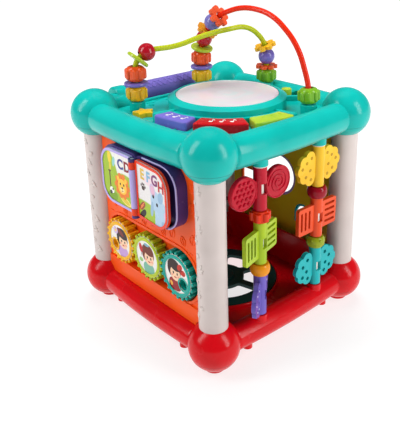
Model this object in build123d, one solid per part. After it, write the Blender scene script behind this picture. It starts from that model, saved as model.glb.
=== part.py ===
from build123d import *
import math
import os

os.makedirs("parts", exist_ok=True)

# Baby activity cube, millimetres. Origin: middle of the footprint, on the floor. +Z up.
# -Y is the book and gear side, +X the open side with the two spinner rods,
# +Y the shape sorter side, -X the closed side under the carry handle.

# ---- Overall sizes ----
side = 190.0                 # width and depth over the corner balls
cube_height = 195.7          # floor to the top of the upper balls
tall_wire_top = 260.0        # floor to the top of the taller bead wire
low_wire_top = 241.0         # floor to the top of the lower bead wire

# ---- Shells ----
wall = 2.4                   # moulded wall of every casing
ball_r = 20.4
foot_clearance = 0.6         # lower balls stand this far off the floor
post_r = 11.25
post_fit = 0.05              # radial gap of a post in its socket
post_seat = 6.0              # how far a post reaches past a ball's rim
shell_gap = 0.3              # between parts that are fixed side by side
ball_at = side / 2 - ball_r
low_ball_z = foot_clearance + ball_r
top_ball_z = cube_height - ball_r

# ---- Rails between the balls ----
rail_stop = 12.6             # a rail ends this far short of the ball centre
rail_bow = 2.5               # outward bow at mid length
rail_end_r = 5.0             # rounded shoulder at each rail end
rail_end = ball_at - rail_stop
low_rail_r = 10.5
low_rail_at = side / 2 - 4.0 - low_rail_r
low_rail_z = low_ball_z - 0.5
top_rail_r = 12.5
top_rail_at = side / 2 - 2.0 - top_rail_r
top_rail_z = top_ball_z - 1.3

# ---- Base ----
deck_z = 13.0                # underside of the floor deck
base_split = deck_z - 0.4    # joint between the base and its bottom cover
skirt_top = 46.0             # inner upstand that carries the side panels
skirt_at = ball_at - 7.7     # outer face of that upstand
panel_half = ball_at - post_r - 0.5
floor_hole_r = 45.0
grille_r = 49.5
grille_thick = 3.0
grille_rim = 2.6
window_inner = 20.0
window_outer = 38.0
window_spoke = 7.0
pad_r = 8.0                  # flat pad under each lower ball
stud_r = 4.0                 # short studs under the rails
stud_at = 45.0
stud_low = low_rail_z - low_rail_r - 3.0

# ---- Top ----
plate_top = top_ball_z + 2.7
top_split = top_ball_z - 9.3
tray_floor = top_split - 3.0
handle_edge = ball_at - 12.6         # -X edge of the plate behind the handle
bay_x = (-58.0, -4.0)                # battery bay under the tray
bay_half = 31.0
bay_depth = 11.0
cell_r = 7.25
cell_length = 50.0
cell_pitch = 14.8
cell_tip_r = 2.6
cell_tip = 1.2

# ---- Board and loudspeaker on the tray floor ----
board_x = (2.0, 42.0)
board_half = 22.0
board_thick = 1.6
board_stand = 0.8                    # feet under the board
# middle in x and y, width, depth and height of each part on the board
board_chips = ((14, -8, 10, 10, 1.6), (30, 6, 8, 5, 1.4), (32, -14, 6, 4, 2.0), (12, 12, 5, 8, 1.8))
speaker_x, speaker_y = 24.0, 44.0
speaker_r = 15.0
speaker_thick = 2.6
magnet_r = 8.25
magnet_thick = 1.8

# ---- Drum ----
drum_x, drum_y = 0.0, 10.0
drum_r = 43.2
drum_top = plate_top + 12.8
drum_ring_r = drum_r + 6.8
drum_ring_drop = 2.6
drum_gap = 0.5
drum_skirt = 2.2
drum_travel = 1.5
drum_crown = 0.8                     # rise of the head in the middle
drum_edge = 2.4                      # thickness of the head at its edge
drum_lip = 2.4                       # the retaining lip reaches this far past the head
button_flange = 1.6                  # retaining lip under the plate
button_gap = 0.45                    # round a key or button in its opening
button_lip_z = plate_top - wall - 1.0
star_waist = 0.55                    # inner over outer radius of the star button

# ---- Keys and buttons ----
key_inner = drum_ring_r + 6.0
key_outer = key_inner + 16.5
key_arcs = {"key_purple": (-95.0, -67.5), "key_red": (-63.5, -29.0), "key_green": (-25.0, 4.0)}
key_top = plate_top + 7.0
key_round = 2.0
pocket_height = 6.5
star_x, star_y = -29.5, -55.5
star_r = 10.2
star_top = plate_top + 3.8
switch_x, switch_y = 21.0, 65.5
switch_angle = 49.0
switch_travel = 7.0
switch_pad = 4.5
knob_r = 4.4
knob_height = 5.0                     # knob above its pad

# ---- Carry handle ----
handle_r = 9.3
handle_half = 38.0
handle_at = side / 2 - 12.5
handle_z = plate_top + 3.5
lug_r = 9.8
lug_width = 12.0

# ---- Bead wires and beads ----
wire_r = 2.25
boss_r = 6.6
boss_height = 8.0
bead_bore = 3.4
wire_fit = 0.05
green_from, green_to = (-46.0, -50.0), (-14.0, 71.0)
red_from, red_to = (-56.0, 29.0), (61.5, 43.0)

# ---- Spinners on the open side ----
rod_r = 2.75
rod_fit = 0.08
rod_at = ball_at + 7.4
rod_half = 32.5
rod_boss_r = 6.0
boss_drop = 3.0
hub_r = 5.2
spin_gap = 0.4
rod_bead_height = 9.0
paddle_thick = 3.4
window_wide, window_high = 5.6, 8.5  # window in a hub

# ---- Front panel, book and gears ----
panel_out = ball_at + 2.4            # outer face of the front panel
panel_top = top_split - 2.2
panel_foot = low_rail_z + low_rail_r - 1.5
panel_corner = 4.0
ledge_top = panel_foot + 12.0
ledge_out = 1.6                      # the ledge stands this far off the panel
gear_z = 68.5
gear_count = 3
gear_teeth = 20
tooth_r = 1.4
tooth_circle = 19.3
gear_pitch = 39.5                    # centre to centre
gear_thick = 9.4
gear_front = panel_out + 4.8
gear_body_r = 17.6
sticker_r = 14.5
finger_r = 4.7
finger_off = 9.3
gear_room = 1.6                      # round the gears in their bay
gear_lift = 0.8                      # gears off the floor of the bay
axle_short = 3.0                     # axle ends this far behind the gear's face
sticker_sink = 0.6
axle_r = 3.0
axle_fit = 0.08
book_x = 3.0                         # hinge axis
book_low, book_high = 110.0, 160.6
book_left = 48.0                     # hinge to the left edge of the tray
book_right = 46.0                    # hinge to the right edge of the right leaf
book_front = panel_out + 10.3        # front rim of the book tray
leaf_gap = 0.3
leaf_thick = 3.2
knuckle_r = 3.0
pin_r = 1.4
pin_fit = 0.08
lobe_r = 16.0                        # outer corners of the book
art_sink = 0.6                       # page art lies this deep in its leaf
ear_half = 1.1                       # half the thickness of a hinge ear
hinge_air = 0.2                      # leaves stand this far inside the hinge axis
hinge_out = book_front + leaf_gap + leaf_thick + hinge_air
page_ajar = 4.0                      # the right leaf rests this many degrees open

# ---- Shape sorter side ----
sorter_hole_r = 19.5
sorter_mid_z = 98.0
sorter_small = 9.0
sorter_spots = {
    "star": (30.0, 26.0),
    "triangle": (-32.0, 17.0),
    "square": (43.0, -14.0),
    "arch": (-31.0, -32.0),
}


def save(name, shape):
    """Write one node."""
    shape.label = name
    export_step(shape, f"parts/{name}.step")


def at_corners(shape_at, reach):
    """The same shape at the four corners, turned with each corner."""
    return [Rot(0, 0, 90 * k) * Pos(reach, -reach, 0) * shape_at for k in range(4)]


def fuse(shapes):
    """One solid from several."""
    whole = shapes[0]
    for piece in shapes[1:]:
        whole = whole + piece
    return whole


def block(x0, x1, y0, y1, z0, z1):
    """Plain box between two corners."""
    return Pos((x0 + x1) / 2, (y0 + y1) / 2, (z0 + z1) / 2) * Box(x1 - x0, y1 - y0, z1 - z0)


def rod(x, y, z0, z1, radius):
    """Upright cylinder."""
    return Pos(x, y, (z0 + z1) / 2) * Cylinder(radius, z1 - z0)


def rail(radius, reach, z, shoulder, first=None, last=None):
    """Bowed rail of the +X side, between two ends along Y."""
    first = -rail_end if first is None else first
    last = rail_end if last is None else last
    bow = ThreePointArc((reach - rail_bow, -rail_end, z), (reach, 0, z), (reach - rail_bow, rail_end, z))
    part_of = [(y + rail_end) / (2 * rail_end) for y in (first, last)]
    path = bow.trim(part_of[0], part_of[1]) if part_of != [0.0, 1.0] else bow
    start = Plane(origin=path @ 0, z_dir=path % 0)
    solid = sweep(start * Circle(radius), path=path)
    if shoulder > 0:
        ends = solid.edges().filter_by(GeomType.CIRCLE).filter_by(lambda e: abs(e.radius - radius) < 0.01)
        ends = ends.filter_by(lambda e: e.bounding_box().size.Y < radius)
        solid = fillet(ends, shoulder)
    return solid


def ring_of(solid, count=4):
    """Copies of a +X side piece on all four sides."""
    return [Rot(0, 0, 90 * k) * solid for k in range(count)]


# ---- Base: deck, lower rails and lower balls, split from its bottom cover ----
def base_parts():
    balls = at_corners(Pos(0, 0, low_ball_z) * Sphere(ball_r), ball_at)
    rails = ring_of(rail(low_rail_r, low_rail_at, low_rail_z, rail_end_r))
    deck_half = low_rail_at - 2.0
    deck = block(-deck_half, deck_half, -deck_half, deck_half, deck_z, deck_z + wall)
    skirt = block(skirt_at - wall, skirt_at, -rail_end, rail_end, deck_z, skirt_top)
    skirts = [Rot(0, 0, 90 * k) * skirt for k in (1, 2, 3)]
    hollow_balls = at_corners(Pos(0, 0, low_ball_z) * Sphere(ball_r - wall), ball_at)
    inner_rail = rail(low_rail_r - wall, low_rail_at, low_rail_z, 0)
    outside = fuse(balls + rails + [deck])
    inside = fuse(hollow_balls + ring_of(inner_rail))
    shell = outside - inside
    feet = [Rot(0, 0, 90 * k) * rod(low_rail_at, s * stud_at, stud_low, base_split, stud_r)
            for k in range(4) for s in (-1, 1)]
    feet += at_corners(rod(0, 0, 0, foot_clearance + 2 * wall, pad_r), ball_at)
    shell = shell + fuse(skirts)
    big = 2 * side
    above = block(-big, big, -big, big, base_split, big)
    below = block(-big, big, -big, big, -big, base_split)
    upper = shell & above
    lower = (outside & below) - inside
    lower = lower + fuse(feet)
    post_hole = at_corners(rod(0, 0, low_ball_z, low_ball_z + ball_r, post_r + post_fit), ball_at)
    upper = upper - fuse(post_hole) - rod(0, 0, 0, deck_z + 3 * wall, floor_hole_r)
    rim_top = deck_z + wall + grille_thick
    rim = rod(0, 0, deck_z + wall, rim_top, grille_r + shell_gap + grille_rim)
    rim = rim - rod(0, 0, 0, rim_top + 1, grille_r + shell_gap)
    rim = fillet(rim.edges().filter_by(GeomType.CIRCLE).sort_by(Axis.Z)[-2:], 0.9)
    upper = upper + rim
    boss_top = low_rail_z + low_rail_r + boss_drop
    for y in (-rod_half, rod_half):
        boss = rod(rod_at, y, low_rail_z + low_rail_r - 3.2, boss_top, rod_boss_r)
        upper = upper + boss - rod(rod_at, y, low_rail_z, boss_top + 1, rod_r)
    return upper, lower, boss_top


base_shell, base_cover, low_boss_top = base_parts()
save("base_shell", base_shell)
save("base_cover", base_cover)


# ---- Grille wheel in the floor, with six windows ----
def grille():
    z0 = deck_z + wall
    wheel = rod(0, 0, z0, z0 + grille_thick, grille_r)
    window = Circle(window_outer) - Circle(window_inner)
    for k in range(3):
        window -= Rot(0, 0, 15 + 60 * k) * Rectangle(3 * window_outer, window_spoke)
    window = fillet(window.vertices(), 3.0)
    wheel = wheel - extrude(Pos(0, 0, z0 - 1) * window, grille_thick + 2)
    hub = rod(0, 0, z0 + grille_thick, z0 + grille_thick + 1.6, window_inner * 0.55)
    return wheel + fillet(hub.edges().sort_by(Axis.Z)[-1:], 1.2)


save("floor_grille", grille())


# ---- Corner posts, with the bores of their screws ----
screw_r = 2.2
screw_length = 5.0
screw_sink = 0.6
screw_rows = (low_ball_z + 32.0, top_ball_z - 26.0)


def inward_pin(z, depth, radius):
    """Cylinder into the inner side of the +X, -Y post, along the diagonal."""
    face = math.hypot(ball_at, ball_at) - post_r + depth
    pin = Rot(0, 90, 0) * Pos(0, 0, screw_length / 2) * Cylinder(radius, screw_length)
    return Rot(0, 0, -45) * Pos(face, 0, z) * pin


def post_parts():
    post = rod(0, 0, low_ball_z + ball_r - post_seat - 3, top_ball_z - ball_r + post_seat + 3, post_r)
    posts, screws = [], []
    for k in range(4):
        turn = Rot(0, 0, 90 * k)
        one = turn * Pos(ball_at, -ball_at, 0) * post
        for z in screw_rows:
            one = one - turn * inward_pin(z, -1.0, screw_r + 1.2)
            one = one + turn * inward_pin(z, screw_sink, screw_r + 1.2)
            one = one - turn * inward_pin(z, screw_sink, screw_r)
            screws.append(turn * inward_pin(z, screw_sink, screw_r))
        posts.append(one)
    return Compound(children=posts), Compound(children=screws)


corner_posts, screws = post_parts()
save("corner_posts", corner_posts)
save("screws", screws)


# ---- Top: cover and tray share one outer skin, split below the ball centres ----
def drum_band(inner, outer, start, end, z0, z1):
    """Solid arc band round the drum, angles in degrees."""
    arcs = [CenterArc((0, 0), outer, start, end - start), CenterArc((0, 0), inner, start, end - start)]
    sides = [Line(arcs[0] @ 0, arcs[1] @ 0), Line(arcs[0] @ 1, arcs[1] @ 1)]
    return Pos(drum_x, drum_y, z0) * extrude(make_face(arcs + sides), z1 - z0)


def key_shape(start, end, grow, z0, z1):
    """A key's block, or its opening when grown."""
    swell = math.degrees(grow / key_inner)
    return drum_band(key_inner - grow, key_outer + grow, start - swell, end + swell, z0, z1)


def star_outline(radius, waist):
    """Five-pointed star with rounded tips."""
    points = []
    for k in range(10):
        reach = radius if k % 2 == 0 else waist
        points.append((reach * math.sin(math.pi * k / 5), reach * math.cos(math.pi * k / 5)))
    outline = make_face(Polyline(points + points[:1]))
    return fillet(outline.vertices(), radius * 0.12)


def lug(y0, y1):
    """Round handle lug on the -X side."""
    solid = Pos(-handle_at, (y0 + y1) / 2, handle_z) * Rot(90, 0, 0) * Cylinder(lug_r, y1 - y0)
    return fillet(solid.edges().filter_by(GeomType.CIRCLE), 2.0)


def top_parts():
    balls = at_corners(Pos(0, 0, top_ball_z) * Sphere(ball_r), ball_at)
    full = rail(top_rail_r, top_rail_at, top_rail_z, rail_end_r)
    stub_from = handle_half + 1.0
    stub = rail(top_rail_r, top_rail_at, top_rail_z, rail_end_r, stub_from + 2.0, rail_end)
    stubs = [Rot(0, 0, 180) * stub, Rot(0, 0, 180) * mirror(stub, about=Plane.XZ)]
    rails = [full, Rot(0, 0, 90) * full, Rot(0, 0, -90) * full] + stubs
    body_half = top_rail_at - 1.0
    body = block(-handle_edge, body_half, -body_half, body_half, tray_floor, plate_top)
    lugs = [lug(stub_from, stub_from + lug_width), lug(-stub_from - lug_width, -stub_from)]
    outside = fuse(balls + rails + [body] + lugs)
    ball_hollow = at_corners(Pos(0, 0, top_ball_z) * Sphere(ball_r - wall), ball_at)
    tube = rail(top_rail_r - wall, top_rail_at, top_rail_z, 0)
    room = block(-handle_edge + wall, body_half - wall, -body_half + wall, body_half - wall,
                 tray_floor + wall, plate_top - wall)
    tubes = [tube, Rot(0, 0, 90) * tube, Rot(0, 0, -90) * tube]
    inside = fuse(ball_hollow + tubes + [room])
    big = 2 * side
    above = block(-big, big, -big, big, top_split, big)
    below = block(-big, big, -big, big, -big, top_split)
    cover = (outside & above) - inside
    tray = (outside & below) - inside
    post_hole = at_corners(rod(0, 0, top_ball_z - ball_r, top_ball_z, post_r + post_fit), ball_at)
    tray = tray - fuse(post_hole)
    cover = cover - fuse(at_corners(rod(0, 0, 0, top_split + 3, post_r + post_fit), ball_at))
    return cover, tray


def dressed_cover(cover):
    """Drum ring, key pockets, wire bosses and openings on the plate."""
    centre = Pos(drum_x, drum_y, 0)
    ring_low = drum_top - drum_ring_drop - 0.4
    ring = rod(0, 0, plate_top - wall, ring_low, drum_ring_r)
    lip_r = drum_r + drum_gap
    bevel = Pos(0, 0, ring_low) * extrude(Circle(drum_ring_r), drum_ring_drop, taper=62)
    cover = cover + centre * (ring + bevel)
    cover = cover - centre * rod(0, 0, plate_top - 2 * wall, drum_top + 5, lip_r)
    ends = [min(a for a, b in key_arcs.values()), max(b for a, b in key_arcs.values())]
    for start, end in ((ends[0] - 6.0, ends[0] - 2.0), (ends[1] + 2.0, ends[1] + 6.0)):
        pocket = drum_band(drum_ring_r - 2, key_outer - 3, start, end, plate_top - 1, plate_top + pocket_height)
        pocket = fillet(pocket.edges().group_by(Axis.Z)[-1], 1.2)
        cover = cover + pocket
    bridge = drum_band(drum_ring_r - 2, key_inner - 1.6, ends[0] - 6.0, ends[1] + 6.0,
                       plate_top - 1, plate_top + pocket_height - 1)
    cover = cover + (bridge - centre * rod(0, 0, 0, drum_top + 5, lip_r))
    for start, end in key_arcs.values():
        cover = cover - key_shape(start, end, button_gap, plate_top - 2 * wall, plate_top + 20)
    cover = cover - Pos(star_x, star_y, plate_top - 2 * wall) * extrude(
        star_outline(star_r + button_gap + 0.3, star_waist * star_r + button_gap + 0.2), 20)
    pad = Pos(switch_x, switch_y, plate_top - 1) * Rot(0, 0, switch_angle) * extrude(
        SlotOverall(switch_travel + 2 * knob_r + 7.0, 2 * knob_r + 6.0), switch_pad + 1)
    pad = fillet(pad.edges().group_by(Axis.Z)[-1], 1.2)
    slot = Pos(switch_x, switch_y, plate_top - 3 * wall) * Rot(0, 0, switch_angle) * extrude(
        SlotOverall(switch_travel + 2 * knob_r + 2 * button_gap, 2 * (knob_r + button_gap)), 40)
    room_over = block(-side, side, -side, side, plate_top - wall, cube_height + 20)
    cover = cover + (pad & room_over) - slot
    for x, y in (green_from, green_to, red_from, red_to):
        boss = rod(x, y, plate_top - wall, plate_top + boss_height, boss_r)
        boss = fillet(boss.edges().sort_by(Axis.Z)[-1:], 1.2)
        cover = cover + boss - rod(x, y, plate_top, plate_top + 2 * boss_height, wire_r + wire_fit)
    return cover


def dressed_tray(tray):
    """Battery bay and rod bosses under the tray."""
    x0, x1 = bay_x
    bay_z = tray_floor - bay_depth
    bay = block(x0, x1, -bay_half, bay_half, bay_z, tray_floor + wall)
    bay = fillet(bay.edges().filter_by(Axis.Z), 4.0)
    cavity = block(x0 + wall, x1 - wall, -bay_half + wall, bay_half - wall, bay_z + wall, tray_floor + 2 * wall)
    door_hole = block(x0 + 2 * wall, x1 - 2 * wall, -bay_half + 2 * wall, bay_half - 2 * wall,
                      bay_z - 1, bay_z + wall + 1)
    tray = tray + bay - cavity - door_hole
    boss_low = top_rail_z - top_rail_r - boss_drop + 1.0
    for y in (-rod_half, rod_half):
        boss = rod(rod_at, y, boss_low, top_rail_z - top_rail_r + 3.2, rod_boss_r)
        tray = tray + (boss - rod(rod_at, y, 0, top_ball_z, rod_r))
        tray = tray - rod(rod_at, y, boss_low - 1, top_rail_z - 2, rod_r)
    return tray, boss_low, bay_z


plain_cover, plain_tray = top_parts()
top_cover = dressed_cover(plain_cover)
top_tray, top_boss_low, bay_z = dressed_tray(plain_tray)
save("top_cover", top_cover)
save("top_tray", top_tray)


# ---- Carry handle between the lugs ----
def handle():
    bar = Pos(-handle_at, 0, handle_z) * Rot(90, 0, 0) * Cylinder(handle_r, 2 * (handle_half + 1.0))
    return fillet(bar.edges().filter_by(GeomType.CIRCLE), 1.0)


save("carry_handle", handle())


# ---- Batteries and their door, board and loudspeaker ----
def battery_parts():
    x0, x1 = bay_x
    door = block(x0 + 2 * wall + shell_gap, x1 - 2 * wall - shell_gap,
                 -bay_half + 2 * wall + shell_gap, bay_half - 2 * wall - shell_gap, bay_z, bay_z + wall)
    cells = []
    for k in (-1, 0, 1):
        cell = Pos((x0 + x1) / 2 + cell_pitch * k, 0, bay_z + wall + cell_r + 0.1) * Rot(90, 0, 0)
        tip = Pos(0, 0, (cell_length + cell_tip) / 2) * Cylinder(cell_tip_r, cell_tip)
        cells.append(cell * (Cylinder(cell_r, cell_length) + tip))
    return door, Compound(children=cells)


battery_door, battery_cells = battery_parts()
save("battery_door", battery_door)
save("battery_cells", battery_cells)


def board():
    floor = tray_floor + wall
    under = floor + board_stand
    over = under + board_thick
    x0, x1 = board_x
    pcb = block(x0, x1, -board_half, board_half, under, over)
    for x in (x0 + 4, x1 - 4):
        for y in (4 - board_half, board_half - 4):
            pcb = pcb + rod(x, y, floor, under, 2.0)
    for x, y, wide, deep, high in board_chips:
        pcb = pcb + block(x - wide / 2, x + wide / 2, y - deep / 2, y + deep / 2, over, over + high)
    return pcb


save("circuit_board", board())


def loudspeaker():
    floor = tray_floor + wall
    basket_top = floor + speaker_thick
    magnet = rod(speaker_x, speaker_y, basket_top, basket_top + magnet_thick, magnet_r)
    return rod(speaker_x, speaker_y, floor, basket_top, speaker_r) + magnet


save("speaker", loudspeaker())


# ---- Drum head: crowned disc on a skirt with a retaining lip ----
def drum_head():
    skirt_low = plate_top - wall - drum_travel * 2
    edge_top = drum_top - drum_crown
    inner_r = drum_r - drum_skirt
    head = rod(0, 0, edge_top - drum_edge, edge_top, drum_r)
    ball = (drum_r ** 2 + drum_crown ** 2) / (2 * drum_crown)
    crown = Pos(0, 0, drum_top - ball) * Sphere(ball)
    cap = rod(0, 0, edge_top - drum_crown, drum_top + 1, drum_r) & crown
    skirt = rod(0, 0, skirt_low, edge_top - 1.2, drum_r) - rod(0, 0, 0, edge_top - 0.2, inner_r)
    lip = rod(0, 0, skirt_low, skirt_low + button_flange, drum_r + drum_lip)
    lip = lip - rod(0, 0, 0, drum_top - 1, inner_r)
    return Pos(drum_x, drum_y, 0) * (head + cap + skirt + lip)


save("drum_head", drum_head())


# ---- Keys round the drum ----
def key(start, end):
    body = key_shape(start, end, 0, button_lip_z, key_top)
    middle = (start + end) / 2
    straight = Pos(drum_x, drum_y, button_lip_z) * Rot(0, 0, middle) * Pos(key_outer - 1.2, 0, 0)
    keep = straight * block(-2 * key_outer, 0, -key_outer, key_outer, -1, 40)
    body = body & keep
    body = fillet(body.edges().filter_by(Axis.Z), key_round)
    body = fillet(body.edges().group_by(Axis.Z)[-1], key_round * 0.8)
    lip = key_shape(start, end, button_gap + 0.9, button_lip_z - button_flange, button_lip_z + 0.01)
    return body + lip


for name, (start, end) in key_arcs.items():
    save(name, key(start, end))


# ---- Star button ----
def star_button():
    star = extrude(star_outline(star_r, star_waist * star_r), star_top - button_lip_z)
    star = fillet(star.edges().group_by(Axis.Z)[-1], 0.7)
    lip = Pos(0, 0, -button_flange) * extrude(Circle(star_r + 1.6), button_flange)
    return Pos(star_x, star_y, button_lip_z) * (star + lip)


save("star_button", star_button())


# ---- Slide switch knob, parked at the inner end of its slot ----
def switch_knob():
    knob_top = plate_top + switch_pad + knob_height
    stem = rod(0, 0, button_lip_z, knob_top, knob_r)
    stem = fillet(stem.edges().sort_by(Axis.Z)[-1:], 0.9)
    lip = Pos(0, 0, button_lip_z - 0.8) * Box(2 * knob_r + 3, 2 * knob_r + 3, button_flange)
    place = Pos(switch_x, switch_y, 0) * Rot(0, 0, switch_angle) * Pos(-switch_travel / 2, 0, 0)
    return place * (stem + lip)


save("switch_knob", switch_knob())


# ---- Bead wires ----
def bend_radii(points):
    """Largest even bends: 0.45 of the shorter run over the tangent of half the turn."""
    radii = []
    for before, here, after in zip(points, points[1:], points[2:]):
        one, two = Vector(*here) - Vector(*before), Vector(*after) - Vector(*here)
        turn = math.radians(one.get_angle(two))
        radii.append(0.45 * min(one.length, two.length) / math.tan(turn / 2))
    return radii


def arch_points(start, end, profile):
    """Points of an arch that stands in the upright plane through two bosses."""
    across = [end[0] - start[0], end[1] - start[1]]
    return [(start[0] + across[0] * t, start[1] + across[1] * t, z) for t, z in profile]


# Each profile is (share of the way across, height), with both ends upright in their bosses.
green_profile = [(0.0, plate_top), (0.0, low_wire_top - 21.5), (0.10, low_wire_top - 13.4),
                 (0.30, low_wire_top - 13.2), (0.52, low_wire_top - 5.6), (0.85, low_wire_top - 1.3),
                 (1.0, low_wire_top - 19.0), (1.0, plate_top)]
red_profile = [(0.0, plate_top), (0.0, tall_wire_top - 38.0), (0.15, tall_wire_top - 12.4),
               (0.42, tall_wire_top - 1.2), (0.68, tall_wire_top - 4.8), (0.90, tall_wire_top - 27.0),
               (1.0, tall_wire_top - 60.0), (1.0, plate_top)]
green_points = arch_points(green_from, green_to, green_profile)
red_points = arch_points(red_from, red_to, red_profile)


def wire_path(points):
    return FilletPolyline(*points, radius=bend_radii(points))


green_path = wire_path(green_points)
red_path = wire_path(red_points)


def wire(path):
    return sweep(Plane(origin=path @ 0, z_dir=path % 0) * Circle(wire_r), path=path)


save("wire_green", wire(green_path))
save("wire_red", wire(red_path))


# ---- Beads ----
def bored(shape, bore=bead_bore):
    return shape - Cylinder(bore, 60)


def ball_bead(radius=7.4):
    ball = Sphere(radius) & Box(30, 30, 2 * radius * 0.9)
    return bored(ball, bead_bore + 0.4)


def disc_bead(radius=10.0, thick=3.0):
    disc = Cylinder(radius, thick)
    return bored(fillet(disc.edges().filter_by(GeomType.CIRCLE), thick * 0.4))


def flower_bead(radius=10.0, thick=3.0, petals=7):
    petal_at = radius * 0.72
    outline = Circle(petal_at)
    for k in range(petals):
        outline += Rot(0, 0, 360 / petals * k) * Pos(petal_at, 0) * Circle(radius - petal_at)
    return bored(Pos(0, 0, -thick / 2) * extrude(outline, thick))


def ribbed_bead(radius=9.2, height=12.6, ribs=8, rib_r=1.9):
    """Barrel with rounded upright ribs."""
    core_r = radius - 1.7
    core = fillet(Cylinder(core_r, height).edges().filter_by(GeomType.CIRCLE), 3.0)
    rib_half = height * 0.21
    ends = [Pos(0, 0, z) * Sphere(rib_r) for z in (-rib_half, rib_half)]
    rib = Pos(core_r - 0.2, 0, 0) * fuse([Cylinder(rib_r, 2 * rib_half)] + ends)
    for k in range(ribs):
        core = core + Rot(0, 0, 360 / ribs * k) * rib
    return bored(core, bead_bore + 0.4)


def upright(path, z, first_half=True):
    """Place on a path at a height: its point and direction there."""
    low, high = (0.0, 0.5) if first_half else (1.0, 0.5)
    for _ in range(40):
        middle = (low + high) / 2
        if (path @ middle).Z < z:
            low = middle
        else:
            high = middle
    return low


def bead_on(path, z, bead, first_half=True):
    here = upright(path, z, first_half)
    tangent = path % here
    if tangent.Z < 0:
        tangent = tangent * -1
    return Location(Plane(origin=path @ here, z_dir=tangent)) * bead, path @ here, tangent


boss_top = plate_top + boss_height
left_stack = [("yellow", ribbed_bead(), 6.7), ("purple", disc_bead(), 14.9), ("orange", ribbed_bead(), 23.4),
              ("lime", disc_bead(), 34.7), ("red", ball_bead(), 40.0)]
rear_stack = [("yellow", ribbed_bead(), 6.7), ("purple", disc_bead(), 14.9), ("orange", ribbed_bead(), 23.2),
              ("lime", disc_bead(), 32.3), ("red", ball_bead(), 41.0), ("amber", flower_bead(), 49.0)]
far_stack = [("green", ribbed_bead(), 6.7), ("orange", flower_bead(), 14.9), ("purple", ball_bead(), 24.0),
             ("yellow", flower_bead(), 33.4)]
bead_facts = []


def thread_beads(wire_name, path, stack, first_half):
    for colour, bead, above in stack:
        placed, here, tangent = bead_on(path, boss_top + above, bead, first_half)
        name = f"bead_{wire_name}_{colour}"
        save(name, placed)
        bead_facts.append((name, tuple(here), tuple(tangent)))


thread_beads("left", green_path, left_stack, True)
thread_beads("rear", red_path, rear_stack, True)
thread_beads("far", green_path, far_stack, False)
thread_beads("right", red_path, [("green", ribbed_bead(), 7.0)], False)
for colour, bead, length_at in (("violet", ball_bead(), 60.6), ("coral", flower_bead(), 69.8)):
    here = (length_at + boss_height) / red_path.length
    place = Location(Plane(origin=red_path @ here, z_dir=red_path % here))
    save(f"bead_rear_{colour}", place * bead)
    bead_facts.append((f"bead_rear_{colour}", tuple(red_path @ here), tuple(red_path % here)))


# ---- Spinner rods, spinners and rod beads ----
stack_low = low_boss_top + spin_gap
stack_high = top_boss_low - spin_gap
hub_height = (stack_high - stack_low - 2 * rod_bead_height - 4 * spin_gap) / 3
rods = [rod(rod_at, y, low_boss_top - 8.0, top_boss_low + 8.0, rod_r) for y in (-rod_half, rod_half)]
save("spinner_rods", Compound(children=rods))


def hub(window=True):
    body = Cylinder(hub_r, hub_height)
    body = fillet(body.edges().filter_by(GeomType.CIRCLE), 0.6)
    if window:
        body = body - Pos(hub_r, 0, 0) * Box(2 * hub_r, window_wide, window_high)
    return body


def standing(outline):
    """Outline drawn in Y and Z, given the paddle thickness."""
    face = Plane.YZ * outline
    return extrude(face, paddle_thick / 2, both=True)


def disc_paddle():
    radius = 13.0
    return standing(Pos(17.5, 0) * Circle(radius) + Pos(8, 0) * Rectangle(12, radius))


def slot_paddle(upright_slots):
    outline = Pos(13.5, 0) * RectangleRounded(19.0, 23.5, 2.0)
    for k in (-1, 0, 1) if upright_slots else (-1.5, -0.5, 0.5, 1.5):
        if upright_slots:
            outline -= Pos(14.8 + 4.6 * k, 0) * SlotOverall(16.5, 2.2, rotation=90)
        else:
            outline -= Pos(14.8, 5.0 * k) * SlotOverall(12.5, 2.2)
    return standing(outline)


def wavy_wing(drilled):
    """Wing with a scalloped edge."""
    lobes = [(11.0, 9.0, 5.4), (17.5, 6.0, 5.2), (20.0, 0.0, 5.2), (17.5, -6.0, 5.2), (11.0, -9.0, 5.4)]
    outline = Pos(10.0, 0) * Rectangle(14.0, 18.0)
    for y, z, r in lobes:
        outline += Pos(y, z) * Circle(r)
    if drilled:
        for y, z in ((11.0, 8.0), (16.5, 3.0), (12.0, -2.5), (17.0, -6.5), (10.5, -9.5)):
            outline -= Pos(y, z) * Circle(1.7)
    return standing(outline)


def two_sided(left, right, window=True):
    """Hub with one paddle to each side, bored for the rod."""
    spinner = hub(window) + right + mirror(left, about=Plane.XZ)
    core = Cylinder(rod_r + rod_fit, 3 * hub_height)
    if window:
        spinner = spinner - Pos(hub_r, 0, 0) * Box(2 * hub_r, window_wide, window_high)
    return spinner - core


def on_rod(rod_y, level, shape, turn=0):
    pitch = hub_height + rod_bead_height + 2 * spin_gap
    z = stack_low + hub_height / 2 + level * pitch
    return Pos(rod_at, rod_y, z) * Rot(0, 0, turn) * shape


spinners = {
    "spinner_crimson": (-rod_half, 2, two_sided(disc_paddle(), disc_paddle()), 0),
    "spinner_lime": (-rod_half, 1, two_sided(slot_paddle(True), slot_paddle(False)), 15),
    "spinner_purple": (-rod_half, 0, two_sided(wavy_wing(True), wavy_wing(True)), 34),
    "spinner_yellow": (rod_half, 2, two_sided(wavy_wing(False), wavy_wing(False), False), 0),
    "spinner_orange": (rod_half, 1, two_sided(slot_paddle(True), slot_paddle(False)), 0),
    "spinner_turquoise": (rod_half, 0, two_sided(wavy_wing(True), wavy_wing(True)), 0),
}
for name, (rod_y, level, shape, turn) in spinners.items():
    save(name, on_rod(rod_y, level, shape, turn))


def rod_bead(radius):
    ball = Sphere(radius) & Cylinder(radius + 1, rod_bead_height)
    return ball - Cylinder(rod_r + rod_fit, 40)


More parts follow.
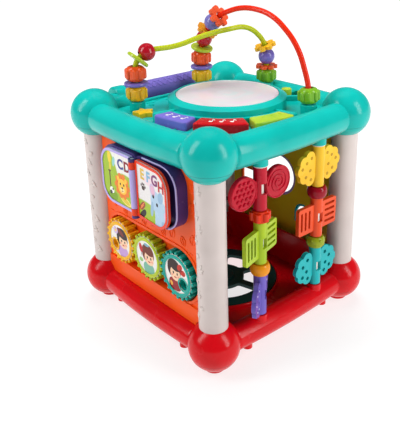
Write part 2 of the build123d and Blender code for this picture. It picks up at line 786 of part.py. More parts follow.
def rod_flower():
    cup = Cylinder(6.2, rod_bead_height)
    for k in range(6):
        cup = cup + Rot(0, 0, 60 * k) * Pos(6.0, 0, 0) * Cylinder(2.4, rod_bead_height * 0.7)
    return cup - Cylinder(rod_r + rod_fit, 40)


rod_beads = {
    "rod_bead_flower": (-rod_half, 1.5, rod_flower()),
    "rod_bead_amber": (-rod_half, 0.5, rod_bead(8.0)),
    "rod_bead_red": (rod_half, 1.5, rod_bead(8.2)),
    "rod_bead_olive": (rod_half, 0.5, rod_bead(7.8)),
}
for name, (rod_y, level, shape) in rod_beads.items():
    between = stack_low + hub_height + spin_gap + rod_bead_height / 2
    between += (level - 0.5) * (hub_height + rod_bead_height + 2 * spin_gap)
    save(name, Pos(rod_at, rod_y, between) * shape)


# ---- Front panel with the gear bay ----
gear_half_span = gear_pitch * (gear_count - 1) / 2
gear_back = gear_front - gear_thick
bay_floor = gear_back - gear_lift    # front face of the gear bay's floor


def outward(outline, y_in, y_out):
    """Outline in X and Z, extruded towards -Y between two distances from the middle."""
    return extrude(Plane.XZ * outline, y_out) - extrude(Plane.XZ * outline, y_in)


def panel_sheet():
    height = panel_top - panel_foot
    return Pos(0, panel_foot + height / 2) * RectangleRounded(2 * panel_half, height, panel_corner)


def trimmed(panel):
    """Panel with the rails and balls that it meets cut away."""
    panel = panel - Rot(0, 0, -90) * rail(low_rail_r + shell_gap, low_rail_at, low_rail_z, 0)
    panel = panel - Rot(0, 0, -90) * rail(top_rail_r + shell_gap, top_rail_at, top_rail_z, 0)
    for x in (-ball_at, ball_at):
        for z in (low_ball_z, top_ball_z):
            panel = panel - Pos(x, -ball_at, z) * Sphere(ball_r + shell_gap)
    return panel


def front_panel():
    bay_r = tooth_circle + tooth_r + gear_room
    bay_length = 2 * (gear_half_span + bay_r)
    bay = Pos(0, gear_z) * SlotOverall(bay_length, 2 * bay_r)
    bay_out = Pos(0, gear_z) * SlotOverall(bay_length + 2 * wall, 2 * (bay_r + wall))
    bay_out = bay_out & (Pos(0, gear_z) * Rectangle(2 * panel_half, 6 * bay_r))
    bay = bay & (Pos(0, gear_z) * Rectangle(2 * panel_half - 2, 6 * bay_r))
    panel = outward(panel_sheet(), panel_out - wall, panel_out)
    panel = panel + outward(bay_out, bay_floor - wall, panel_out + 0.8)
    ledge = Pos(0, (panel_foot + gear_z - bay_r) / 2) * Rectangle(2 * panel_half, gear_z - bay_r - panel_foot)
    panel = panel + outward(ledge, panel_out - wall, panel_out + ledge_out)
    panel = panel - outward(bay, bay_floor, panel_out + 10)
    for k in range(gear_count):
        x = gear_pitch * k - gear_half_span
        panel = panel + outward(Pos(x, gear_z) * Circle(axle_r), bay_floor - wall, gear_front - axle_short)
    return trimmed(panel)


save("front_panel", front_panel())


def gear(turn, finger_angle):
    outline = Circle(gear_body_r)
    for k in range(gear_teeth):
        angle = math.radians(turn + 360 / gear_teeth * k)
        tooth = Pos(tooth_circle * math.cos(angle), tooth_circle * math.sin(angle)) * Circle(tooth_r)
        root = Rot(0, 0, turn + 360 / gear_teeth * k) * Pos(tooth_circle - 1.2, 0) * Rectangle(2.4, 2 * tooth_r)
        outline += tooth + root
    body = outward(outline, gear_back, gear_front - 0.8) + outward(Circle(gear_body_r), gear_back, gear_front)
    body = body - outward(Circle(sticker_r), gear_front - sticker_sink, gear_front + 1)
    body = body - outward(Circle(axle_r + axle_fit), gear_back - 1, gear_front - axle_short + 0.4)
    if finger_angle is not None:
        angle = math.radians(finger_angle)
        spot = Pos(finger_off * math.cos(angle), finger_off * math.sin(angle))
        collar = outward(spot * Circle(finger_r + 1.3), gear_back, gear_front)
        body = body + (collar & outward(Circle(gear_body_r), gear_back, gear_front))
        body = body - outward(spot * Circle(finger_r), gear_back + 2.0, gear_front + 1)
    return body


half_tooth = 180 / gear_teeth
gears = {"gear_left": (0, 0.0, 215), "gear_middle": (1, half_tooth, None), "gear_right": (2, 0.0, -30)}
for name, (index, turn, finger_angle) in gears.items():
    save(name, Pos(gear_pitch * index - gear_half_span, 0, gear_z) * gear(turn, finger_angle))


# ---- Book: tray, pin and two leaves ----
def leaf_outline(x0, x1, z0, z1, outer_r, inner_r, outer_left):
    """Leaf with large outer corners."""
    sheet = Pos((x0 + x1) / 2, (z0 + z1) / 2) * Rectangle(x1 - x0, z1 - z0)
    corners = sheet.vertices().sort_by(Axis.X)
    outer, inner = (corners[:2], corners[2:]) if outer_left else (corners[2:], corners[:2])
    sheet = fillet(outer, outer_r)
    inner = sheet.vertices().filter_by(lambda v: any(abs(v.X - i.X) + abs(v.Y - i.Y) < 0.01 for i in inner))
    return fillet(inner, inner_r)


lug_low, lug_high = book_low + 1.2, book_high - 4.4


def book_base():
    left = leaf_outline(book_x - book_left, book_x + 0.5, book_low, book_high, lobe_r, 5.0, True)
    right = leaf_outline(book_x - 0.5, book_x + book_right + 3.0, book_low, book_high, lobe_r, 5.0, False)
    tray = outward(left + right, panel_out, book_front)
    low, high = book_low + 2.0, book_high - 2.0
    well_left = leaf_outline(book_x - book_left + 2.0, book_x - 3.0, low, high, lobe_r - 2, 3.0, True)
    well_right = leaf_outline(book_x + 3.0, book_x + book_right + 1.0, low, high, lobe_r - 2, 3.0, False)
    tray = tray - outward(well_left + well_right, book_front - 5.0, book_front + 1)
    for z in (lug_low - ear_half, lug_high + ear_half):
        ear = rod(book_x, -hinge_out, z - ear_half, z + ear_half, knuckle_r)
        arm = block(book_x - 2.2, book_x + 2.2, -hinge_out, -book_front + 1.0, z - ear_half, z + ear_half)
        tray = tray + ear + arm
    return tray - rod(book_x, -hinge_out, 0, cube_height, pin_r)


save("book_base", book_base())
save("book_pin", rod(book_x, -hinge_out, lug_low - 2 * ear_half, lug_high + 2 * ear_half, pin_r))

knuckle_gap = 0.3
mid_low, mid_high = lug_low + 6.0, lug_high - 6.0


def leaf(x0, x1, outer_left, knuckles):
    """One page leaf: a framed plate and its knuckles on the pin."""
    sheet = leaf_outline(x0, x1, book_low + 1.5, book_high - 2.0, lobe_r - 1.5, 1.5, outer_left)
    face = hinge_out - hinge_air
    plate = outward(sheet, face - leaf_thick, face)
    well = leaf_outline(x0 + 2.2, x1 - 2.2, book_low + 3.7, book_high - 4.2, lobe_r - 3.5, 1.0, outer_left)
    plate = plate - outward(well, face - art_sink, hinge_out + 1)
    inner = x1 if outer_left else x0
    for z0, z1 in knuckles:
        arm = block(min(inner, book_x), max(inner, book_x), -face, -face + leaf_thick - art_sink, z0, z1)
        plate = plate + arm + rod(book_x, -hinge_out, z0, z1, knuckle_r)
    return plate - rod(book_x, -hinge_out, 0, cube_height, pin_r + pin_fit)


clear_of_knuckle = knuckle_r + 0.5
left_leaf = leaf(book_x - book_left + 1.5, book_x - clear_of_knuckle, True,
                 [(mid_low + knuckle_gap, mid_high - knuckle_gap)])
right_leaf = leaf(book_x + clear_of_knuckle, book_x + book_right, False,
                  [(lug_low + knuckle_gap, mid_low), (mid_high, lug_high - knuckle_gap)])
ajar = Pos(book_x, -hinge_out, 0) * Rot(0, 0, -page_ajar) * Pos(-book_x, hinge_out, 0)
save("page_left", left_leaf)
save("page_right", ajar * right_leaf)


# ---- Sorter side and closed side ----
def wall_panel():
    panel = outward(panel_sheet(), panel_out - wall, panel_out)
    ledge = Pos(0, (panel_foot + ledge_top) / 2) * Rectangle(2 * panel_half, ledge_top - panel_foot)
    panel = panel + outward(ledge, panel_out - wall, panel_out + ledge_out)
    return trimmed(panel)


def through(outline):
    return outward(outline, panel_out - 3 * wall, panel_out + 3 * wall)


def sorter_panel():
    """Round hole in the middle, with a star, a triangle, a square and an arch round it."""
    panel = wall_panel()
    outlines = {
        "star": star_outline(sorter_small + 2.5, 0.5 * (sorter_small + 2.5)),
        "triangle": fillet(RegularPolygon(sorter_small + 2, 3, rotation=90).vertices(), 1.5),
        "square": RectangleRounded(1.8 * sorter_small, 1.8 * sorter_small, 1.5),
        "arch": Circle(sorter_small) + Pos(0, -sorter_small / 2) * Rectangle(2 * sorter_small, sorter_small),
    }
    panel = panel - through(Pos(0, sorter_mid_z) * Circle(sorter_hole_r))
    for name, (x, z) in sorter_spots.items():
        panel = panel - through(Pos(x, sorter_mid_z + z) * outlines[name])
    return panel


save("sorter_panel", Rot(0, 0, 180) * sorter_panel())
save("closed_panel", Rot(0, 0, -90) * wall_panel())

if __name__ == "__main__":
    print("hub height", round(hub_height, 2), "stack", round(stack_low, 1), round(stack_high, 1))
    print("wire tops", round(green_path.bounding_box().max.Z + wire_r, 2),
          round(red_path.bounding_box().max.Z + wire_r, 2))
    for fact in bead_facts:
        print(fact[0], [round(v, 2) for v in fact[1]], [round(v, 3) for v in fact[2]])
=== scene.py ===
import math

import bpy
from mathutils import Matrix, Vector


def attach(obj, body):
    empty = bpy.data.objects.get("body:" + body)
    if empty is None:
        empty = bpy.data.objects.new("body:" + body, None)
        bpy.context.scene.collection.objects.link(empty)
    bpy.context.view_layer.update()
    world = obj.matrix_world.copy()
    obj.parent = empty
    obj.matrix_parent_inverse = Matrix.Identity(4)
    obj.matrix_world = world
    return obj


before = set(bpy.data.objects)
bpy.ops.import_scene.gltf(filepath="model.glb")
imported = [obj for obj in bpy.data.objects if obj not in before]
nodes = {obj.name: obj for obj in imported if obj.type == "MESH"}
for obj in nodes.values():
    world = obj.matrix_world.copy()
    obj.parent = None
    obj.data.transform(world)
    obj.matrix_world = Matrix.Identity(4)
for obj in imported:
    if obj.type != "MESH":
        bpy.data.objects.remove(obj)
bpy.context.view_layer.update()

# ---- Studio ---------------------------------------------------------------------------
# Pale seamless floor under an even white sky, with one soft box to the left, one to the
# right and one overhead. The camera looks down a little on the front corner post.
MM = 0.001


def shader_node(tree, kind, inputs=(), **settings):
    """A shader node with its settings, and its inputs set or linked."""
    made = tree.nodes.new(kind)
    for key, value in settings.items():
        setattr(made, key, value)
    for key, value in dict(inputs).items():
        if isinstance(value, bpy.types.NodeSocket):
            tree.links.new(value, made.inputs[key])
        else:
            made.inputs[key].default_value = value
    return made


def ranged(tree, value, low, high, out_low, out_high):
    """Value mapped from one range to another, clamped."""
    settings = {"Value": value, "From Min": low, "From Max": high, "To Min": out_low, "To Max": out_high}
    return shader_node(tree, "ShaderNodeMapRange", settings).outputs["Result"]


bpy.ops.object.select_all(action="DESELECT")
bpy.ops.mesh.primitive_plane_add(size=30.0, location=(0, 0, -0.0005))
floor = bpy.context.object
floor.name = "studio_floor"
paper = bpy.data.materials.new("studio_paper")
paper.use_nodes = True
paper_skin = paper.node_tree.nodes["Principled BSDF"]
paper_skin.inputs["Base Color"].default_value = (0.30, 0.30, 0.30, 1)
paper_skin.inputs["Roughness"].default_value = 0.95
paper_skin.inputs["Emission Color"].default_value = (1, 1, 1, 1)
across_floor = shader_node(paper.node_tree, "ShaderNodeTexCoord").outputs["Object"]
from_middle = shader_node(paper.node_tree, "ShaderNodeVectorMath", {0: across_floor},
                          operation="LENGTH").outputs["Value"]
paper.node_tree.links.new(ranged(paper.node_tree, from_middle, 0.15, 1.2, 0.74, 0.99),
                          paper_skin.inputs["Emission Strength"])
floor.data.materials.append(paper)

world = bpy.data.worlds.new("studio_air")
bpy.context.scene.world = world
world.use_nodes = True
world.node_tree.nodes["Background"].inputs["Color"].default_value = (1, 1, 1, 1)
world.node_tree.nodes["Background"].inputs["Strength"].default_value = 0.15


def softbox(name, azimuth, elevation, distance, size, power):
    """Area light aimed at the middle of the cube."""
    a, e = math.radians(azimuth), math.radians(elevation)
    towards = Vector((math.sin(a) * math.cos(e), -math.cos(a) * math.cos(e), math.sin(e)))
    bpy.ops.object.light_add(type="AREA", location=Vector((0, 0, 0.11)) + towards * distance)
    lamp = bpy.context.object
    lamp.name = name
    lamp.data.shape = "RECTANGLE"
    lamp.data.size, lamp.data.size_y = size
    lamp.data.energy = power
    lamp.rotation_mode = "QUATERNION"
    lamp.rotation_quaternion = (-towards).to_track_quat("-Z", "Y")


softbox("left_box", -22, 36, 0.9, (0.28, 0.75), 4.6)
softbox("right_box", 109, 25, 0.9, (0.28, 0.75), 4.8)
softbox("top_box", 229, 72, 1.0, (0.7, 0.7), 9.0)
bpy.data.objects["top_box"].visible_glossy = False

CAMERA_AZIMUTH, CAMERA_ELEVATION, CAMERA_ROLL = 49.0, 20.0, -1.25
CAMERA_DISTANCE, CAMERA_AIM = 0.549, Vector((0, 0, 0.1412))
azimuth, elevation = math.radians(CAMERA_AZIMUTH), math.radians(CAMERA_ELEVATION)
back = Vector((math.sin(azimuth) * math.cos(elevation), -math.cos(azimuth) * math.cos(elevation),
               math.sin(elevation)))
bpy.ops.object.camera_add(location=CAMERA_AIM + back * CAMERA_DISTANCE)
camera = bpy.context.object
camera.name = "studio_camera"
camera.data.lens = 54.3
camera.data.sensor_width = 36.0
camera.data.shift_x = -0.046
camera.data.shift_y = -0.1462
camera.rotation_mode = "QUATERNION"
level = (-back).to_track_quat("-Z", "Y").to_matrix()
camera.rotation_quaternion = (Matrix.Rotation(math.radians(CAMERA_ROLL), 3, back) @ level).to_quaternion()
bpy.context.scene.camera = camera
bpy.context.scene.view_settings.view_transform = "Standard"


def noise(tree, place, scale, detail=3.0, rough=0.5):
    settings = {"Vector": place, "Scale": scale, "Detail": detail, "Roughness": rough}
    return shader_node(tree, "ShaderNodeTexNoise", settings).outputs["Fac"]


def sums(tree, operation, one, two=0.0, three=0.0):
    return shader_node(tree, "ShaderNodeMath", {0: one, 1: two, 2: three}, operation=operation).outputs[0]


def blended(tree, amount, one, two):
    return shader_node(tree, "ShaderNodeMix", {0: amount, 6: one, 7: two}, data_type="RGBA").outputs[2]


def new_group(name, inputs, outputs):
    """Shader node group with named sockets; gives the group and its two ends."""
    group = bpy.data.node_groups.new(name, "ShaderNodeTree")
    for label, kind, value in inputs:
        group.interface.new_socket(label, in_out="INPUT",
                                   socket_type="NodeSocket" + kind).default_value = value
    for label, kind in outputs:
        group.interface.new_socket(label, in_out="OUTPUT", socket_type="NodeSocket" + kind)
    return group, shader_node(group, "NodeGroupInput").outputs, shader_node(group, "NodeGroupOutput").inputs


skin, given, gives = new_group(
    "moulded_skin",
    (("Colour", "Color", (1, 1, 1, 1)), ("Shade", "Color", (0, 0, 0, 1)), ("Roughness", "Float", 0.3),
     ("Grain", "Float", 0.15), ("Scuffs", "Float", 0.25), ("Parting", "Float", -1.0)),
    (("Colour", "Color"), ("Roughness", "Float"), ("Normal", "Vector")))
place = shader_node(skin, "ShaderNodeTexCoord").outputs["Object"]
flow = shader_node(skin, "ShaderNodeTexWave", {"Vector": place, "Scale": 9.0, "Distortion": 14.0},
                   bands_direction="DIAGONAL").outputs["Fac"]
pigment = sums(skin, "MULTIPLY", ranged(skin, noise(skin, place, 38.0, 2.0), 0.35, 0.7, 0.0, 0.6),
               ranged(skin, flow, 0.0, 1.0, 0.5, 1.0))
toned = blended(skin, pigment, given["Colour"], given["Shade"])
stretched = shader_node(skin, "ShaderNodeMapping",
                        {"Vector": place, "Scale": (1.0, 1.0, 14.0), "Rotation": (0.6, 0.4, 0.2)}).outputs[0]
scratches = ranged(skin, noise(skin, stretched, 210.0, 4.0, 0.7), 0.66, 0.74, 0.0, 1.0)
patches = ranged(skin, noise(skin, place, 55.0), 0.52, 0.68, 0.0, 1.0)
scuffed = sums(skin, "MULTIPLY", sums(skin, "MULTIPLY", scratches, patches), given["Scuffs"])
rubbed = blended(skin, sums(skin, "MULTIPLY", scuffed, 0.3), toned, (0.9, 0.9, 0.88, 1))
height_up = shader_node(skin, "ShaderNodeSeparateXYZ", {0: place}).outputs["Z"]
parting = sums(skin, "COMPARE", height_up, given["Parting"], 0.00022)
skin.links.new(blended(skin, sums(skin, "MULTIPLY", parting, 0.5), rubbed, (0.0, 0.02, 0.02, 1)),
               gives["Colour"])
uneven = ranged(skin, noise(skin, place, 90.0), 0.3, 0.7, -0.05, 0.07)
rough = sums(skin, "ADD", sums(skin, "ADD", given["Roughness"], uneven), sums(skin, "MULTIPLY", scuffed, 0.3))
skin.links.new(rough, gives["Roughness"])
grain = sums(skin, "MULTIPLY", noise(skin, place, 1400.0, 2.0), given["Grain"])
relief = sums(skin, "ADD", grain, sums(skin, "MULTIPLY", noise(skin, place, 120.0, 1.0), 0.35))
relief = sums(skin, "SUBTRACT", relief, sums(skin, "MULTIPLY", scuffed, 0.5))
relief = sums(skin, "SUBTRACT", relief, sums(skin, "MULTIPLY", parting, 0.9))
bump = shader_node(skin, "ShaderNodeBump", {"Strength": 0.16, "Distance": 0.0003, "Height": relief})
skin.links.new(bump.outputs["Normal"], gives["Normal"])


def srgb(r, g, b):
    """Screen colour, 0 to 255, as the linear colour that materials use."""
    def channel(c):
        c = c / 255
        return c / 12.92 if c <= 0.04045 else ((c + 0.055) / 1.055) ** 2.4
    return (channel(r), channel(g), channel(b), 1.0)


def plastic(name, colour, shade=None, roughness=0.22, grain=0.15, scuffs=0.25, coat=0.07, parting=-1.0):
    """Moulded plastic of one colour, with its darker pigment shade."""
    material = bpy.data.materials.new(name)
    material.use_nodes = True
    tree = material.node_tree
    shader = tree.nodes["Principled BSDF"]
    group = shader_node(tree, "ShaderNodeGroup", node_tree=skin)
    darker = shade or [0.84 * c for c in colour]
    settings = {"Colour": srgb(*colour), "Shade": srgb(*darker), "Roughness": roughness,
                "Grain": grain, "Scuffs": scuffs, "Parting": parting}
    for key, value in settings.items():
        group.inputs[key].default_value = value
    tree.links.new(group.outputs["Colour"], shader.inputs["Base Color"])
    tree.links.new(group.outputs["Roughness"], shader.inputs["Roughness"])
    tree.links.new(group.outputs["Normal"], shader.inputs["Normal"])
    shader.inputs["IOR"].default_value = 1.5
    shader.inputs["Specular IOR Level"].default_value = 0.2
    shader.inputs["Coat Weight"].default_value = coat
    shader.inputs["Coat Roughness"].default_value = 0.1
    return material


def moulding(name, material, angle=32):
    """A moulding as it came from the tool: welded facets, smooth faces, crisp edges."""
    piece = nodes[name]
    piece.data.materials.clear()
    piece.data.materials.append(material)
    for face in piece.data.polygons:
        face.use_smooth = True
    weld = piece.modifiers.new("weld", "WELD")
    weld.merge_threshold = 0.00001
    crisp = piece.modifiers.new("crisp_edges", "EDGE_SPLIT")
    crisp.split_angle = math.radians(angle)
    crisp.use_edge_sharp = False


BASE_PARTING = 0.0126
base_red = plastic("base_red", (224, 8, 22), (196, 4, 16), parting=BASE_PARTING)
moulding("base_shell", base_red)
moulding("base_cover", base_red)

# ---- Floor grille ---------------------------------------------------------------------
# Wheel with six windows, snapped into the red rim of the floor. Its dark green is painted shade: the teal of
# the wheel as it looks in the shade under the cube.
moulding("floor_grille", plastic("grille_teal_painted_shade", (6, 58, 54), (4, 44, 40), roughness=0.36))

# ---- Corner posts ---------------------------------------------------------------------
# Four warm white posts, plugged into the balls and pinned by small dark screws. Sprigs of
# raised leaves and small stars are moulded into their outer sides.
def chosen(*things):
    """Selects only these objects, the first one active."""
    bpy.ops.object.select_all(action="DESELECT")
    for thing in things:
        thing.select_set(True)
    bpy.context.view_layer.objects.active = things[0]


def finish_piece(piece, name, material, body):
    """Names a finished piece, gives it its material, and fixes it to its body."""
    piece.name = name
    piece.data.materials.clear()
    piece.data.materials.append(material)
    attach(piece, body)
    return piece


def studs(name, spots, material, body, segments=16):
    """Raised pads: each spot is a place, an outward direction, length, width, height and turn."""
    bpy.ops.object.select_all(action="DESELECT")
    bpy.ops.mesh.primitive_uv_sphere_add(segments=segments, ring_count=segments // 2, radius=1.0)
    pad = bpy.context.object
    bpy.ops.object.mode_set(mode="EDIT")
    bpy.ops.mesh.select_all(action="SELECT")
    bpy.ops.mesh.bisect(plane_co=(0, 0, -0.35), plane_no=(0, 0, 1), clear_inner=True, use_fill=True)
    bpy.ops.object.mode_set(mode="OBJECT")
    bpy.ops.object.shade_smooth()
    copies = []
    for spot, out, length, width, height, turn in spots:
        copy = pad.copy()
        copy.data = pad.data.copy()
        bpy.context.collection.objects.link(copy)
        lie = Vector(out).to_track_quat("Z", "Y").to_matrix().to_4x4() @ Matrix.Rotation(math.radians(turn),
                                                                                         4, "Z")
        size = Matrix.Diagonal((length * MM, width * MM, height * MM, 1.0))
        copy.data.transform(Matrix.Translation(Vector(spot) * MM) @ lie @ size)
        copies.append(copy)
    bpy.data.objects.remove(pad)
    chosen(*copies)
    bpy.ops.object.join()
    return finish_piece(copies[0], name, material, body)


def ridges(name, lines, thickness, material, body, closed=False):
    """Round raised ribs along lines of points in millimetres."""
    curve = bpy.data.curves.new(name, "CURVE")
    curve.dimensions = "3D"
    curve.bevel_depth = thickness * MM
    curve.bevel_resolution = 3
    curve.use_fill_caps = True
    for points in lines:
        spline = curve.splines.new("NURBS")
        spline.points.add(len(points) - 1)
        for point, at in zip(spline.points, points):
            point.co = (at[0] * MM, at[1] * MM, at[2] * MM, 1.0)
        spline.order_u = 3
        spline.use_cyclic_u = closed
        spline.use_endpoint_u = not closed
        spline.resolution_u = 6
    piece = bpy.data.objects.new(name, curve)
    bpy.context.collection.objects.link(piece)
    chosen(piece)
    bpy.ops.object.convert(target="MESH")
    piece = bpy.context.object
    bpy.ops.object.shade_smooth()
    return finish_piece(piece, name, material, body)


POST_AT, POST_R = 74.6, 11.25
post_white = plastic("post_white", (218, 205, 200), (202, 188, 183), roughness=0.34)
moulding("corner_posts", post_white)
moulding("screws", plastic("screw_steel", (70, 66, 66), (40, 38, 38), roughness=0.32, coat=0.0))
sprigs = []
for corner in range(4):
    facing = (-1, 1)[corner % 2]
    sign_x, sign_y = (1, 1, -1, -1)[corner], (-1, 1, 1, -1)[corner]
    for index, z in enumerate((49, 58, 68, 79, 90, 101, 112, 122, 132, 142, 151)):
        angle = math.radians(-45 + 90 * corner + facing * (54 + (15, -12, 3)[index % 3]))
        out = (math.cos(angle), math.sin(angle), 0)
        middle = (sign_x * POST_AT + POST_R * out[0], sign_y * POST_AT + POST_R * out[1], z)
        if index % 4 == 1:
            for ray in range(5):
                sprigs.append((middle, out, 2.4, 0.65, 0.5, 90 + 72 * ray))
        else:
            for tilt in (35, 90, 145):
                up = Vector(middle) + Vector((0, 0, 2.4 * (tilt == 90)))
                sprigs.append((up, out, 3.0, 1.15, 0.55, tilt + 20 * facing))
sprig_white = plastic("sprig_white", (224, 213, 207), (208, 195, 190), roughness=0.42)
studs("post_sprigs", sprigs, sprig_white, "casing", segments=10)

# ---- Side panels ----------------------------------------------------------------------
# Blue closed panel, lime shape sorter with a coloured collar pressed into each hole, and
# the orange front panel with leaves and grass moulded under the book.
PANEL_OUT = 77.0
moulding("closed_panel", plastic("panel_blue", (44, 140, 206), (34, 118, 182)))
moulding("sorter_panel", plastic("panel_lime", (236, 212, 30), (218, 184, 18), roughness=0.36))
panel_orange = plastic("panel_orange", (250, 90, 18), (238, 72, 10), roughness=0.36)
moulding("front_panel", panel_orange)


def hole_rim(points):
    return [(x, PANEL_OUT - 1.2, z) for x, z in points]


def around(x, z, radius, count=24, first=0.0, waist=1.0):
    """Points round a circle or, with a waist, a star."""
    turn = 2 * math.pi / count
    return [(x + radius * (waist if k % 2 else 1.0) * math.sin(first + turn * k),
             z + radius * (waist if k % 2 else 1.0) * math.cos(first + turn * k)) for k in range(count)]


def straight_sided(corners, steps=4):
    """Outline with straight sides: each side gets points that hold the curve to it."""
    points = []
    for one, two in zip(corners, corners[1:] + corners[:1]):
        for k in range(steps):
            share = k / steps
            points.append((one[0] + (two[0] - one[0]) * share, one[1] + (two[1] - one[1]) * share))
    return points


hole_collars = {
    "round": ((176, 150, 206), around(0, 98, 19.9)),
    "star": ((206, 30, 40), straight_sided(around(-30, 124, 11.9, 10, waist=0.5), 3)),
    "triangle": ((246, 196, 40), straight_sided(around(32, 115, 11.4, 3), 7)),
    "square": ((236, 92, 30),
               straight_sided([(-51.4, 75.6), (-51.4, 92.4), (-34.6, 92.4), (-34.6, 75.6)], 6)),
    "arch": ((34, 184, 190),
             [(31 + 9.4 * math.cos(math.pi * k / 8), 66 + 9.4 * math.sin(math.pi * k / 8)) for k in range(9)]
             + straight_sided([(21.6, 63), (21.6, 56.6), (40.4, 56.6), (40.4, 63)], 3)[:9]),
}
for shape, (colour, outline) in hole_collars.items():
    ridges("collar_" + shape, [hole_rim(outline)], 1.6, plastic("collar_plastic_" + shape, colour), "casing",
           closed=True)

leaf_lines = []
for x, z, lean, size in ((-47, 101, 25, 9.5), (-34, 98, -30, 8.0), (-20, 101, 40, 9.0), (-7, 98, -20, 8.0),
                         (6, 101, 30, 9.0), (19, 98, -35, 8.0), (31, 101, 20, 9.5), (44, 99, -25, 9.0),
                         (56, 104, 12, 10.0), (56, 130, 8, 9.0), (57, 146, -8, 8.0)):
    lean = math.radians(lean)
    along = (math.sin(lean), math.cos(lean))
    across = (math.cos(lean), -math.sin(lean))
    outline = [(0, 0), (0.35, 0.3), (0.32, 0.65), (0, 1.0), (-0.32, 0.65), (-0.35, 0.3), (0, 0)]
    leaf_lines.append([(x + size * (u * across[0] + (v - 0.5) * along[0]), -PANEL_OUT - 0.1,
                        z + size * (u * across[1] + (v - 0.5) * along[1])) for u, v in outline])
    leaf_lines.append([(x + size * (v - 0.5) * along[0], -PANEL_OUT - 0.1, z + size * (v - 0.5) * along[1])
                       for v in (0.0, 0.4, 0.8)])
for x in range(-58, 60, 9):
    leaf_lines.append([(x, -PANEL_OUT - 0.1, 90.6), (x + 2.5, -PANEL_OUT - 0.1, 92.6),
                       (x + 5.5, -PANEL_OUT - 0.1, 91.0)])
ridges("panel_leaves", leaf_lines, 0.45, panel_orange, "casing")

# ---- Gears ----------------------------------------------------------------------------
# Three meshed gears on axles in the gear bay, each with a rounded rim, a knob on the front
# of every tooth and a printed round label of a cartoon child; two have a finger hole.
ink_group, given, gives = new_group(
    "printed_spot",
    (("Under", "Color", (1, 1, 1, 1)), ("Ink", "Color", (0, 0, 0, 1)), ("Place", "Vector", (0, 0, 0)),
     ("Middle", "Vector", (0, 0, 0)), ("Tilt", "Vector", (0, 0, 0)), ("Size", "Vector", (1, 1, 1)),
     ("Squareness", "Float", 2.0)),
    (("Colour", "Color"),))
spot = shader_node(ink_group, "ShaderNodeMapping", {"Vector": given["Place"], "Location": given["Middle"],
                                                    "Rotation": given["Tilt"], "Scale": given["Size"]},
                   vector_type="TEXTURE").outputs[0]
split = shader_node(ink_group, "ShaderNodeSeparateXYZ", {0: spot}).outputs
powers = [sums(ink_group, "POWER", sums(ink_group, "ABSOLUTE", split[axis]), given["Squareness"])
          for axis in "XZ"]
inside = sums(ink_group, "SUBTRACT", 1.0, sums(ink_group, "ADD", *powers))
solid = ranged(ink_group, inside, -0.04, 0.06, 0.0, 1.0)
ink_group.links.new(blended(ink_group, solid, given["Under"], given["Ink"]), gives["Colour"])


def printed(material, hinge, opened, depth, paper_colour, spots):
    """Prints coloured spots on the sunk face of a moulding, which lies depth in front of the hinge."""
    tree = material.node_tree
    shader = tree.nodes["Principled BSDF"]
    coords = shader_node(tree, "ShaderNodeTexCoord").outputs["Object"]
    local = shader_node(tree, "ShaderNodeMapping", {"Vector": coords, "Location": [MM * v for v in hinge],
                                                    "Rotation": (0, 0, math.radians(opened))},
                        vector_type="TEXTURE").outputs[0]
    fibre = ranged(tree, noise(tree, local, 700.0, 3.0), 0.3, 0.7, 0.0, 1.0)
    art = blended(tree, fibre, srgb(*paper_colour), srgb(*[0.96 * c for c in paper_colour]))
    for x, z, wide, high, tilt, square, colour in spots:
        settings = {"Under": art, "Ink": srgb(*colour), "Place": local, "Middle": (x * MM, 0, z * MM),
                    "Tilt": (0, math.radians(-tilt), 0), "Size": (wide * MM, 1, high * MM),
                    "Squareness": square}
        art = shader_node(tree, "ShaderNodeGroup", settings, node_tree=ink_group).outputs["Colour"]
    out_of_hinge = shader_node(tree, "ShaderNodeSeparateXYZ", {0: local}).outputs["Y"]
    on_face = sums(tree, "COMPARE", out_of_hinge, depth * MM, 0.00028)
    moulded = shader.inputs["Base Color"].links[0].from_socket
    tree.links.new(blended(tree, on_face, moulded, art), shader.inputs["Base Color"])


GEAR_Z, GEAR_FRONT, GEAR_PITCH = 68.5, 81.8, 39.5
GEAR_TEETH, KNOB_RING = 20, 19.3
SKIN_TONE, HAIR_DARK, HAIR_BROWN = (250, 208, 172), (44, 20, 16), (112, 44, 20)


def child(x, z, hair, shirt):
    """Cartoon child: hair, face, fringe, eyes, cheeks, smile and shirt."""
    return [(x - 0.4, z - 11.0, 7.6, 5.6, 0, 2.4, shirt), (x - 1.0, z + 2.4, 8.4, 8.6, 0, 2.2, hair),
            (x + 0.4, z - 1.6, 6.3, 6.0, 0, 2.2, SKIN_TONE), (x - 0.6, z + 4.6, 6.6, 3.4, -12, 2.0, hair),
            (x - 2.0, z - 1.0, 0.85, 1.25, 0, 2, (30, 16, 12)),
            (x + 2.8, z - 1.0, 0.85, 1.25, 0, 2, (30, 16, 12)),
            (x - 3.6, z - 3.3, 1.4, 0.9, 0, 2, (240, 160, 140)),
            (x + 4.2, z - 3.3, 1.4, 0.9, 0, 2, (240, 160, 140)),
            (x + 0.4, z - 4.5, 1.7, 0.65, 0, 2, (190, 40, 40))]


